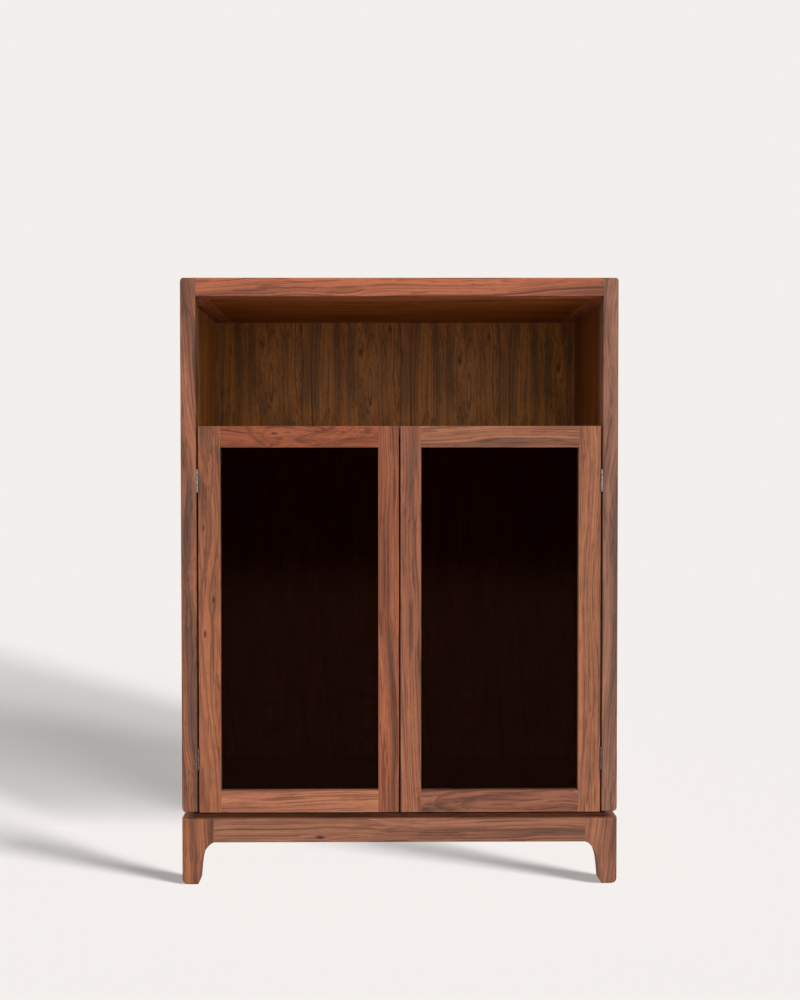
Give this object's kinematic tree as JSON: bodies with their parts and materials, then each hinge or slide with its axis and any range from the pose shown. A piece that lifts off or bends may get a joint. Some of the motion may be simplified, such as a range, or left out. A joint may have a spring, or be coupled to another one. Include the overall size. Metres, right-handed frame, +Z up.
{
  "type": "display cabinet",
  "caption": "Walnut display cabinet: an open niche above two framed dark-glass doors, on a low base frame with shaped legs.",
  "frame": {"origin": "on the floor, under the middle of the cabinet's box", "axes": "+X to the right and +Z up as seen from the front; the front faces -Y"},
  "size_m": [0.8, 0.39, 1.109],
  "materials": {
    "walnut": "solid walnut, oiled, satin",
    "walnut_veneer": "walnut veneer on board, oiled, satin",
    "steel": "zinc-plated screw",
    "dark_glass": "smoked, polished",
    "nickel": "satin nickel",
    "catch_plastic": "matt black",
    "glide_plastic": "matt brown"
  },
  "bodies": {
    "cabinet": {"apron_front": "walnut", "apron_rear": "walnut", "apron_side_left": "walnut", "apron_side_right": "walnut", "back_panel": "walnut_veneer", "base_screws": "steel", "bottom_board": "walnut_veneer", "bottom_rail_side_left": "walnut", "bottom_rail_side_right": "walnut", "foot_glides": "glide_plastic", "hinge_leaves_frame": "nickel", "hinge_pins": "nickel", "hinge_screws_frame": "nickel", "leg_front_left": "walnut", "leg_front_right": "walnut", "leg_rear_left": "walnut", "leg_rear_right": "walnut", "niche_shelf": "walnut_veneer", "post_front_left": "walnut", "post_front_right": "walnut", "post_rear_left": "walnut", "post_rear_right": "walnut", "push_catches": "catch_plastic", "side_panel_left": "walnut_veneer", "side_panel_right": "walnut_veneer", "top_panel": "walnut_veneer", "top_rail_front": "walnut", "top_rail_rear": "walnut", "top_rail_side_left": "walnut", "top_rail_side_right": "walnut"},
    "door_left": {"door_bottom_rail_left": "walnut", "door_glass_left": "dark_glass", "door_hinge_stile_left": "walnut", "door_meeting_stile_left": "walnut", "door_top_rail_left": "walnut", "glazing_bead_bottom_left": "walnut", "glazing_bead_hinge_side_left": "walnut", "glazing_bead_meeting_side_left": "walnut", "glazing_bead_top_left": "walnut", "hinge_leaves_door_left": "nickel", "hinge_screws_door_left": "nickel", "strike_disc_left": "nickel"},
    "door_right": {"door_bottom_rail_right": "walnut", "door_glass_right": "dark_glass", "door_hinge_stile_right": "walnut", "door_meeting_stile_right": "walnut", "door_top_rail_right": "walnut", "glazing_bead_bottom_right": "walnut", "glazing_bead_hinge_side_right": "walnut", "glazing_bead_meeting_side_right": "walnut", "glazing_bead_top_right": "walnut", "hinge_leaves_door_right": "nickel", "hinge_screws_door_right": "nickel", "strike_disc_right": "nickel"}
  },
  "joints": [
    {"name": "door_left_hinge", "type": "hinge", "parent": "cabinet", "child": "door_left", "pos_m": [-0.3685, -0.19225, 0.487], "axis": [0, 0, -1], "range_deg": [0, 110]},
    {"name": "door_right_hinge", "type": "hinge", "parent": "cabinet", "child": "door_right", "pos_m": [0.3685, -0.19225, 0.487], "axis": [0, 0, 1], "range_deg": [0, 110]}
  ]
}
